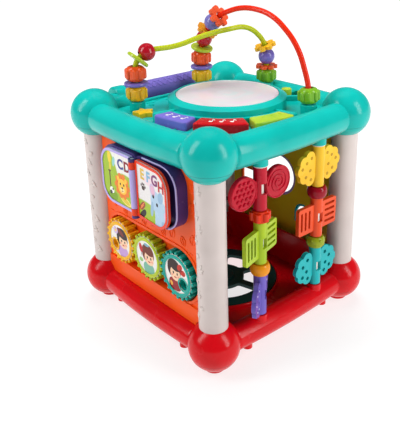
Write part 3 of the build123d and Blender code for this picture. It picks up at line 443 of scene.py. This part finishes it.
gears = {
    "gear_left": (-1, (248, 190, 30), (236, 160, 16), child(4.0, 1.5, HAIR_DARK, (196, 156, 214)) + [
        (1.0, 8.5, 5.4, 2.2, -30, 2.4, (120, 36, 30)), (-6.5, 8.0, 3.4, 3.4, 0, 2, (206, 180, 220)),
        (-6.5, 8.0, 1.4, 1.4, 0, 2, (246, 214, 90))]),
    "gear_middle": (0, (190, 208, 44), (160, 186, 30), child(2.5, 1.2, HAIR_BROWN, (120, 184, 160)) + [
        (-8.2, 6.0, 2.3, 4.2, 12, 2, (196, 34, 36)), (-7.6, 0.6, 0.4, 1.6, 10, 2, (90, 60, 40)),
        (0.0, 11.2, 3.6, 1.3, 0, 2, (120, 170, 190)), (-8.5, -5.0, 2.6, 2.0, 0, 2, (150, 200, 120))]),
    "gear_right": (1, (20, 176, 160), (10, 150, 138), child(-2.0, 2.5, HAIR_DARK, (150, 26, 30)) + [
        (4.2, 8.6, 3.6, 2.6, 38, 2, (196, 44, 24)), (8.0, 5.2, 3.2, 2.6, 10, 2, (196, 44, 24)),
        (5.6, 6.6, 1.3, 1.3, 0, 2, (140, 20, 16)), (9.5, -1.5, 1.6, 2.0, 0, 2, (240, 190, 70)),
        (-7.0, -9.0, 1.6, 2.2, 20, 2, (236, 170, 60))]),
}
for name, (index, colour, shade, picture) in gears.items():
    middle = (index * GEAR_PITCH, -GEAR_FRONT + 0.6, GEAR_Z)
    gear_plastic = plastic(name + "_plastic", colour, shade)
    rim_plastic = plastic(name + "_rim_plastic", colour, shade, roughness=0.24)
    printed(gear_plastic, middle, 0, 0.0, (244, 243, 238), picture)
    moulding(name, gear_plastic)
    rim = [(x, -GEAR_FRONT + 0.55, z) for x, z in around(middle[0], GEAR_Z, 16.2, 32)]
    ridges(name + "_rim", [rim], 0.95, rim_plastic, name + "_body", closed=True)
    first = 9.0 if index == 0 else 0.0
    knobs = []
    for tooth in range(GEAR_TEETH):
        angle = math.radians(first + 360 // GEAR_TEETH * tooth)
        knob = (middle[0] + KNOB_RING * math.cos(angle), -GEAR_FRONT + 0.8,
                GEAR_Z + KNOB_RING * math.sin(angle))
        knobs.append((knob, (0, -1, 0), 1.45, 1.45, 1.0, 0))
    studs(name + "_knobs", knobs, rim_plastic, name + "_body")

# ---- Book -----------------------------------------------------------------------------
# Dark purple tray with a lavender rib along its lip, a painted highlight of the lip's edge, and two stiff
# leaves on one steel pin. Each leaf is a moulded frame with a printed card set into it; the letters are
# raised.
HINGE = (3.0, -91.0, 0.0)
LEAF_OPENED = {"page_left": 0.0, "page_right": -4.0}
moulding("book_base", plastic("book_purple", (74, 58, 122), (58, 44, 100)))
moulding("book_pin", plastic("pin_steel", (190, 190, 194), (160, 160, 166), roughness=0.25, coat=0.0))
LIP_RIGHT, LIP_LOW, LIP_HIGH, LIP_R = 51.6, 110.6, 160.0, 15.6
lip_line = [(LIP_RIGHT - LIP_R + LIP_R * math.cos(math.radians(t)),
             LIP_LOW + LIP_R + LIP_R * math.sin(math.radians(t)))
            for t in (-75, -60, -45, -30, -15, 0)]
lip_line += [(LIP_RIGHT - LIP_R + LIP_R * math.cos(math.radians(t)),
              LIP_HIGH - LIP_R + LIP_R * math.sin(math.radians(t)))
             for t in (0, 15, 30, 45, 60, 75, 90)] + [(24.0, LIP_HIGH), (11.0, LIP_HIGH)]
# The lavender rib along the front lip of the tray is a painted highlight of the lip's edge.
ridges("book_lip_painted_highlight", [[(x, -87.0, z) for x, z in lip_line]], 0.7,
       plastic("lip_painted_highlight", (196, 184, 236)), "casing")

GREEN, MOSS = (160, 190, 40), (122, 164, 30)
LION_X, LION_Z = -18.0, 129.6
MANE, MANE_EDGE, FUR = (226, 104, 22), (234, 124, 30), (250, 196, 60)
lion = [(LION_X, LION_Z, 9.2, 9.6, 0, 2, MANE)]
lion += [(LION_X + 8.4 * math.cos(0.63 * k), LION_Z + 8.8 * math.sin(0.63 * k), 2.5, 2.5, 0, 2,
          MANE_EDGE) for k in range(10)]
lion += [(LION_X - 5.4, LION_Z + 5.8, 1.9, 1.9, 0, 2, FUR), (LION_X + 5.4, LION_Z + 5.8, 1.9, 1.9, 0, 2, FUR),
         (LION_X, LION_Z - 0.4, 6.1, 6.6, 0, 2.2, FUR),
         (LION_X, LION_Z - 3.2, 3.0, 2.3, 0, 2, (252, 226, 150)),
         (LION_X - 2.4, LION_Z + 1.5, 0.9, 1.1, 0, 2, (40, 20, 10)),
         (LION_X + 2.4, LION_Z + 1.5, 0.9, 1.1, 0, 2, (40, 20, 10)),
         (LION_X, LION_Z - 1.6, 1.3, 0.9, 0, 2, (70, 34, 20)),
         (LION_X, LION_Z - 4.2, 1.5, 0.45, 0, 2, (150, 60, 30))]
left_page = [(-44, 125, 22, 36, 0, 2, GREEN), (-14, 118, 26, 23, 0, 2, GREEN), (-34, 116, 9, 5, 20, 2, MOSS),
             (-13, 145.2, 5.0, 1.4, 0, 2, (196, 222, 226)), (-34.4, 150.5, 2.4, 5.6, 4, 2, (240, 208, 50)),
             (-34.0, 143.0, 1.5, 3.6, -6, 2, (226, 200, 60)),
             (-28.4, 148.0, 1.9, 4.4, -14, 2, (146, 206, 200)),
             (-35.2, 131.5, 0.8, 7.4, 0, 6, (92, 50, 20)), (-35.2, 138.6, 2.0, 0.7, 0, 4, (92, 50, 20)),
             (-33.6, 122.0, 3.2, 2.8, 0, 2, (240, 240, 232)), (-35.0, 119.8, 1.7, 1.8, 0, 2, (30, 34, 24)),
             (-32.0, 123.2, 1.0, 1.1, 0, 2, (30, 34, 24)), (-14.0, 117.6, 7.6, 2.9, -16, 2, (248, 226, 120)),
             (-14.6, 117.9, 6.4, 2.0, -16, 2, (222, 196, 60))] + lion
BLUE_GREY, DEEP_BLUE, INK = (176, 204, 226), (150, 184, 212), (20, 18, 24)
right_page = [(24, 147, 9, 4.5, 10, 2, (238, 214, 222)), (14, 108, 40, 20, 0, 2, GREEN),
              (41, 115, 6, 7, 0, 2, MOSS),
              (37, 124, 9.0, 11.6, 0, 2.3, BLUE_GREY), (30.8, 115.6, 2.7, 5.0, 0, 3, BLUE_GREY),
              (39.5, 114.6, 2.7, 5.0, 0, 3, DEEP_BLUE), (31.0, 132.2, 7.8, 8.8, 10, 2, BLUE_GREY),
              (26.4, 140.8, 3.8, 5.2, 14, 2, (206, 186, 214)),
              (26.6, 140.6, 2.5, 3.8, 14, 2, (226, 176, 200)),
              (37.0, 137.6, 3.6, 4.8, -20, 2, DEEP_BLUE), (24.6, 125.0, 2.0, 6.4, -10, 2.4, DEEP_BLUE),
              (27.2, 136.0, 1.3, 1.6, 0, 2, INK), (31.9, 130.6, 1.3, 1.6, 0, 2, INK),
              (43.0, 122.6, 1.3, 5.4, 12, 2, (230, 182, 208)),
              (10.4, 122.6, 5.2, 2.5, 42, 2.4, (150, 62, 30)),
              (10.6, 123.6, 4.4, 0.5, 42, 2, (236, 130, 60)), (9.6, 121.4, 4.4, 0.5, 42, 2, (236, 130, 60)),
              (10.8, 116.0, 6.0, 2.5, 42, 2.4, (26, 16, 14)), (13.0, 138.2, 2.2, 1.9, 0, 2, (60, 30, 22)),
              (10.4, 140.2, 0.9, 1.1, 0, 2, (60, 30, 22)), (12.2, 141.5, 0.9, 1.1, 0, 2, (60, 30, 22)),
              (14.3, 141.3, 0.9, 1.1, 0, 2, (60, 30, 22)), (15.9, 139.6, 0.9, 1.1, 0, 2, (60, 30, 22))]
leaf_lavender = plastic("leaf_lavender", (186, 172, 232), (168, 152, 216))
leaf_red = plastic("leaf_red", (232, 62, 26), (214, 46, 16))
printed(leaf_lavender, HINGE, LEAF_OPENED["page_left"], 0.8, (240, 238, 232), left_page)
printed(leaf_red, HINGE, LEAF_OPENED["page_right"], 0.8, (236, 232, 230), right_page)
moulding("page_left", leaf_lavender)
moulding("page_right", leaf_red)
letters = (("C", "page_left", -18.6, 144.6, (72, 64, 140)), ("D", "page_left", -9.4, 144.2, (136, 20, 40)),
           ("E", "page_right", 12.6, 145.6, (226, 186, 70)),
           ("F", "page_right", 21.2, 145.6, (130, 182, 214)),
           ("G", "page_right", 29.8, 145.6, (128, 50, 110)),
           ("H", "page_right", 38.4, 142.6, (190, 40, 50)))
for letter, leaf, across, z, colour in letters:
    bpy.ops.object.select_all(action="DESELECT")
    bpy.ops.object.text_add()
    text = bpy.context.object
    text.data.body = letter
    text.data.size = 11.4 * MM
    text.data.extrude = 0.12 * MM
    text.data.offset = 0.34 * MM
    text.data.align_x = "CENTER"
    bpy.ops.object.convert(target="MESH")
    text = bpy.context.object
    swing = Matrix.Rotation(math.radians(LEAF_OPENED[leaf]), 4, "Z")
    stand = Matrix.Translation((across * MM, 0.72 * MM, z * MM)) @ Matrix.Rotation(math.radians(90), 4, "X")
    text.data.transform(Matrix.Translation(Vector(HINGE) * MM) @ swing @ stand)
    finish_piece(text, "letter_" + letter, plastic("ink_" + letter, colour, coat=0.1), leaf + "_body")

# ---- Spinner rods ---------------------------------------------------------------------
# Two white steel-cored rods between the rails, each threaded with three two-sided spinners
# and two beads; the paddles carry studs, a snail ridge, dimples or specks to feel.
ROD_X, ROD_Y, STACK_LOW, HUB_HIGH, BEAD_HIGH, SPIN_GAP = 82.0, 32.5, 34.4, 35.03, 9.0, 0.4
LEVEL_STEP = HUB_HIGH + BEAD_HIGH + 2 * SPIN_GAP
moulding("spinner_rods", plastic("rod_white", (236, 232, 224), (220, 214, 204)))
crimson = plastic("spinner_crimson_plastic", (196, 16, 44), (166, 10, 34))
lime = plastic("spinner_lime_plastic", (178, 204, 40), (150, 182, 28))
purple = plastic("spinner_purple_plastic", (118, 102, 196), (96, 82, 176))
yellow = plastic("spinner_yellow_plastic", (246, 200, 48), (238, 172, 26))
coral = plastic("spinner_orange_plastic", (238, 86, 40), (222, 66, 26))
turquoise = plastic("spinner_turquoise_plastic", (30, 186, 188), (18, 160, 166))
for name, material in (("crimson", crimson), ("lime", lime), ("purple", purple), ("yellow", yellow),
                       ("orange", coral), ("turquoise", turquoise)):
    moulding("spinner_" + name, material)
moulding("rod_bead_flower", plastic("flower_vermilion", (230, 58, 20), (212, 42, 12)))
moulding("rod_bead_amber", plastic("bead_amber_plastic", (240, 154, 24), (224, 130, 14)))
moulding("rod_bead_red", plastic("bead_dark_red", (164, 12, 36), (130, 8, 26), roughness=0.2))
moulding("rod_bead_olive", plastic("bead_olive_plastic", (158, 172, 34), (132, 148, 24)))

bpy.ops.object.select_all(action="DESELECT")
collars = []
for side in (-1, 1):
    bpy.ops.mesh.primitive_torus_add(major_segments=32, minor_segments=10, major_radius=4.6 * MM,
                                     minor_radius=1.1 * MM)
    collar = bpy.context.object
    collar.data.transform(Matrix.Translation(Vector((ROD_X, side * ROD_Y, 159.4)) * MM))
    bpy.ops.object.shade_smooth()
    collars.append(collar)
chosen(*collars)
bpy.ops.object.join()
finish_piece(collars[0], "rod_collars", nodes["spinner_rods"].data.materials[0], "casing")


def rod_level(level):
    return STACK_LOW + HUB_HIGH / 2 + level * LEVEL_STEP


PADDLE_OUT, PADDLE_RIM = 17.5, 12.2
top_level = rod_level(2)
raspberry = []
for row in range(-2, 3):
    for column in range(-2, 3):
        u, v = 4.3 * column + 2.15 * (row % 2), 4.1 * row
        if math.hypot(u, v) < 10.8:
            for face in (-1, 1):
                at = (ROD_X + face * 1.6, -ROD_Y - PADDLE_OUT + u, top_level + v)
                raspberry.append((at, (face, 0, 0), 1.8, 1.3, 1.5, 45))
studs("crimson_studs", raspberry, crimson, "spinner_crimson_body")
snail = []
for face in (-1, 1):
    snail.append([(ROD_X + face * 1.8, -ROD_Y + PADDLE_OUT + (1.2 + 0.26 * k) * math.cos(0.45 * k),
                   top_level + (1.2 + 0.26 * k) * math.sin(0.45 * k)) for k in range(36)])
    for paddle in (PADDLE_OUT, -PADDLE_OUT):
        snail.append([(ROD_X + face * 1.6, -ROD_Y + paddle + PADDLE_RIM * math.cos(0.21 * k),
                       top_level + PADDLE_RIM * math.sin(0.21 * k)) for k in range(31)])
ridges("crimson_snail", snail, 0.7, crimson, "spinner_crimson_body")

# The dimples are low pads in a darker yellow that stands in for the shade in the paddles' hollows: painted
# shade.
dimple_painted_shade = plastic("dimple_shadow", (196, 150, 20), (170, 126, 14), coat=0.0)
dimples = []
for side in (-1, 1):
    for u, v in ((9.5, 8.5), (15.0, 5.5), (20.0, 1.5), (11.0, -1.5), (16.0, -6.0), (10.0, -9.5)):
        for face in (-1, 1):
            at = (ROD_X + face * 1.65, ROD_Y + side * u, top_level + v)
            dimples.append((at, (face, 0, 0), 1.6, 1.5, 0.3, 0))
studs("yellow_dimples", dimples, dimple_painted_shade, "spinner_yellow_body")

speck_pale = plastic("speck_pale", (226, 220, 240), (206, 198, 226))
specks = []
PURPLE_TURN = 34.0
turned = Matrix.Rotation(math.radians(PURPLE_TURN), 3, "Z")
for side in (-1, 1):
    for u, v in ((11.0, 8.0), (17.0, 7.0), (20.0, 0.0), (17.0, -7.0), (11.0, -8.0)):
        for face in (-1, 1):
            at = turned @ Vector((face * 1.65, side * u, 0)) + Vector((ROD_X, -ROD_Y, rod_level(0) + v))
            specks.append((at, turned @ Vector((face, 0, 0)), 1.0, 0.8, 0.3, 40 * side))
studs("purple_specks", specks, speck_pale, "spinner_purple_body")

bumps = []
for k in range(12):
    angle = math.radians(30 * k + 15)
    out = (math.cos(angle), math.sin(angle), 0)
    at = (ROD_X + 7.4 * out[0], ROD_Y + 7.4 * out[1], rod_level(0.5) + (2.2 if k % 2 else -1.6))
    bumps.append((at, out, 1.2, 1.2, 0.7, 0))
studs("olive_bumps", bumps, nodes["rod_bead_olive"].data.materials[0], "rod_bead_olive_body")

# ---- Top tray, cells and electronics --------------------------------------------------
# Teal underside of the top with the battery bay, its door, the cells, the green circuit
# board and the black loudspeaker behind the drum.
TOP_PARTING = 0.166
top_teal = plastic("top_teal", (10, 186, 176), (4, 162, 154), roughness=0.2, parting=TOP_PARTING)
moulding("top_tray", top_teal)
moulding("battery_door", plastic("door_teal", (16, 178, 164), (10, 150, 142), grain=0.4, roughness=0.38))
moulding("battery_cells", plastic("cell_wrap", (196, 150, 50), (40, 40, 42), roughness=0.3))
moulding("circuit_board", plastic("board_green", (16, 104, 56), (10, 78, 40), roughness=0.4))
moulding("speaker", plastic("speaker_black", (30, 30, 32), (18, 18, 20), roughness=0.55, grain=0.6))

# ---- Top cover ------------------------------------------------------------------------
# Glossy teal cover with the rails, balls and drum ring in one moulding. Small rings, notes
# and a rounded tile are raised on the plate between the wire bosses.
PLATE = 178.0
moulding("top_cover", top_teal)
plate_lines = []
for x, y, radius in ((-62, -20, 2.6), (-50, -33, 2.4), (-6, -62, 2.4), (7, -64, 2.2), (25, -62.5, 2.6),
                     (-64, -6, 2.0), (52, -58, 2.4), (62, -50, 2.0), (-45, 62, 2.6), (-58, 58, 2.2),
                     (-62, 50, 2.0)):
    plate_lines.append([(u, v, PLATE + 0.05) for u, v in around(x, y, radius, 12)])
tile = straight_sided([(50, 50), (63, 50), (63, 60), (50, 60)], 4)
plate_lines.append([(u, v, PLATE + 0.05) for u, v in tile])
ridges("plate_rings", plate_lines, 0.5, top_teal, "casing", closed=True)
ridges("plate_lip", [[(-63.9, y, PLATE + 0.3) for y in (-36, -12, 12, 36)]], 1.9, top_teal, "casing")
notes = ((-58, -33), (-56, -12), (16, -66), (36, -64), (-52, 50))
note_lines = []
for x, y in notes:
    note_lines.append([(x + 1.6, y, PLATE), (x + 1.6, y + 3.5, PLATE), (x + 1.6, y + 7.0, PLATE)])
    note_lines.append([(x + 1.6, y + 7.0, PLATE), (x + 3.0, y + 6.4, PLATE), (x + 4.0, y + 4.8, PLATE)])
ridges("plate_note_stems", note_lines, 0.5, top_teal, "casing")
studs("plate_note_heads", [((x, y, PLATE), (0, 0, 1), 2.0, 1.4, 0.8, 20) for x, y in notes],
      top_teal, "casing")

# ---- Carry handle ---------------------------------------------------------------------
# Purple grip bar pressed between the two teal lugs, with a wandering raised line.
HANDLE_X, HANDLE_Z, HANDLE_R = -82.5, 181.5, 9.3
handle_purple = plastic("handle_purple", (120, 106, 190), (100, 86, 170))
moulding("carry_handle", handle_purple)
wander = []
for strand in range(2):
    line = []
    for k in range(41):
        y = -32 + 1.6 * k
        angle = math.radians(48 + 20 * math.sin(0.85 * k + 2.4 * strand))
        line.append((HANDLE_X + HANDLE_R * math.cos(angle), y, HANDLE_Z + HANDLE_R * math.sin(angle)))
    wander.append(line)
ridges("handle_scribble", wander, 0.45, handle_purple, "casing")

# ---- Drum head ------------------------------------------------------------------------
# White translucent-looking drum head with a pearly swirl in the plastic.
DRUM_Y, DRUM_TOP, DRUM_EDGE = 10.0, 190.8, 42.3
drum_white = plastic("drum_pearl", (226, 220, 222), (206, 196, 202), roughness=0.2, scuffs=0.4, coat=0.6)
tree = drum_white.node_tree
shader = tree.nodes["Principled BSDF"]
coords = shader_node(tree, "ShaderNodeTexCoord").outputs["Object"]
centred = shader_node(tree, "ShaderNodeMapping",
                      {"Vector": coords, "Location": (0, -DRUM_Y * MM, 0)}).outputs[0]
swirl = shader_node(tree, "ShaderNodeTexWave",
                    {"Vector": centred, "Scale": 26.0, "Distortion": 7.0, "Detail": 3.0, "Detail Scale": 1.4},
                    wave_type="RINGS", rings_direction="Z").outputs["Fac"]
tint = shader_node(tree, "ShaderNodeValToRGB", {"Fac": noise(tree, centred, 46.0, 4.0)}).outputs["Color"]
ramp = tint.node.color_ramp
ramp.elements[0].position, ramp.elements[0].color = 0.36, srgb(236, 208, 224)
ramp.elements[1].position, ramp.elements[1].color = 0.62, srgb(206, 226, 224)
pearl = blended(tree, ranged(tree, swirl, 0.35, 0.85, 0.0, 0.55),
                shader.inputs["Base Color"].links[0].from_socket, tint)
tree.links.new(pearl, shader.inputs["Base Color"])
moulding("drum_head", drum_white)
ridges("drum_edge", [[(x, y, DRUM_TOP - 1.0) for x, y in around(0, DRUM_Y, DRUM_EDGE, 48)]], 0.55,
       drum_white, "drum_head_body", closed=True)

# ---- Keys, star button and switch -----------------------------------------------------
# Three sprung keys round the drum with printed white motifs, the yellow star button and
# the lime knob of the slide switch.
KEY_TOP, KEY_MIDDLE_R = 185.0, 64.0
key_plastics = {
    "key_purple": plastic("key_purple_plastic", (124, 112, 204), (100, 88, 184)),
    "key_red": plastic("key_red_plastic", (200, 8, 24), (170, 4, 16)),
    "key_green": plastic("key_lime_plastic", (188, 208, 58), (130, 190, 44)),
}
motif_white = plastic("motif_white", (238, 236, 232), (222, 220, 216))
key_middles = {"key_purple": -81.2, "key_red": -46.2, "key_green": -10.5}
for name, material in key_plastics.items():
    moulding(name, material)
    middle = math.radians(key_middles[name])
    out = Vector((math.cos(middle), math.sin(middle), 0))
    along = Vector((-math.sin(middle), math.cos(middle), 0))
    centre = Vector((0, DRUM_Y, KEY_TOP)) + out * (KEY_MIDDLE_R - 0.5)
    strokes = []
    heads = []
    for step in (-8, 0, 8):
        foot = centre + along * step - out * (0.07 * abs(step))
        heads.append((foot + out * 1.8, (0, 0, 1), 1.7, 1.2, 0.35, math.degrees(middle) + 70))
        strokes.append([foot + out * 1.6 + along * 1.3, foot - out * 0.5 + along * 1.3,
                        foot - out * 3.0 + along * 1.3])
        strokes.append([foot - out * 3.0 + along * 1.3, foot - out * 2.6 + along * 2.6,
                        foot - out * 1.2 + along * 3.2])
    body = name + "_body"
    motif = motif_white if name != "key_green" else material
    studs(name + "_note_heads", heads, motif, body, segments=12)
    ridges(name + "_note_stems", strokes, 0.32, motif, body)
star_yellow = plastic("star_yellow", (248, 198, 40), (236, 170, 22))
moulding("star_button", star_yellow)
STAR = (-29.5, -55.5, 181.7)
studs("star_crown", [(STAR, (0, 0, 1), 2.4, 2.4, 0.5, 0)], star_yellow, "star_button_body")
moulding("switch_knob", plastic("knob_lime", (184, 206, 56), (160, 186, 40)))

# ---- Bead wires and beads -------------------------------------------------------------
# Two thick steel wires dipped in lime and red plastic, pressed into the teal bosses, with
# ribbed barrels, washers, flowers and balls that run along them.
moulding("wire_green",
         plastic("wire_lime", (182, 192, 26), (168, 180, 18), roughness=0.24, grain=0.0, scuffs=0.0))
moulding("wire_red",
         plastic("wire_vermilion", (232, 44, 12), (216, 34, 8), roughness=0.24, grain=0.0, scuffs=0.0))
bead_colours = {
    "yellow": ((244, 188, 30), (232, 160, 18)), "purple": ((118, 104, 186), (98, 84, 168)),
    "orange": ((236, 84, 28), (220, 64, 18)), "lime": ((176, 196, 46), (150, 172, 34)),
    "red": ((186, 10, 34), (150, 6, 26)), "amber": ((240, 160, 30), (226, 138, 20)),
    "green": ((128, 184, 36), (98, 156, 26)), "violet": ((122, 116, 186), (100, 94, 166)),
    "coral": ((238, 96, 56), (226, 78, 40)),
}
bead_plastics = {tint: plastic("bead_" + tint, *pair, roughness=0.22, coat=0.5)
                 for tint, pair in bead_colours.items()}
for name in nodes:
    if name.startswith("bead_"):
        moulding(name, bead_plastics[name.split("_")[-1]])
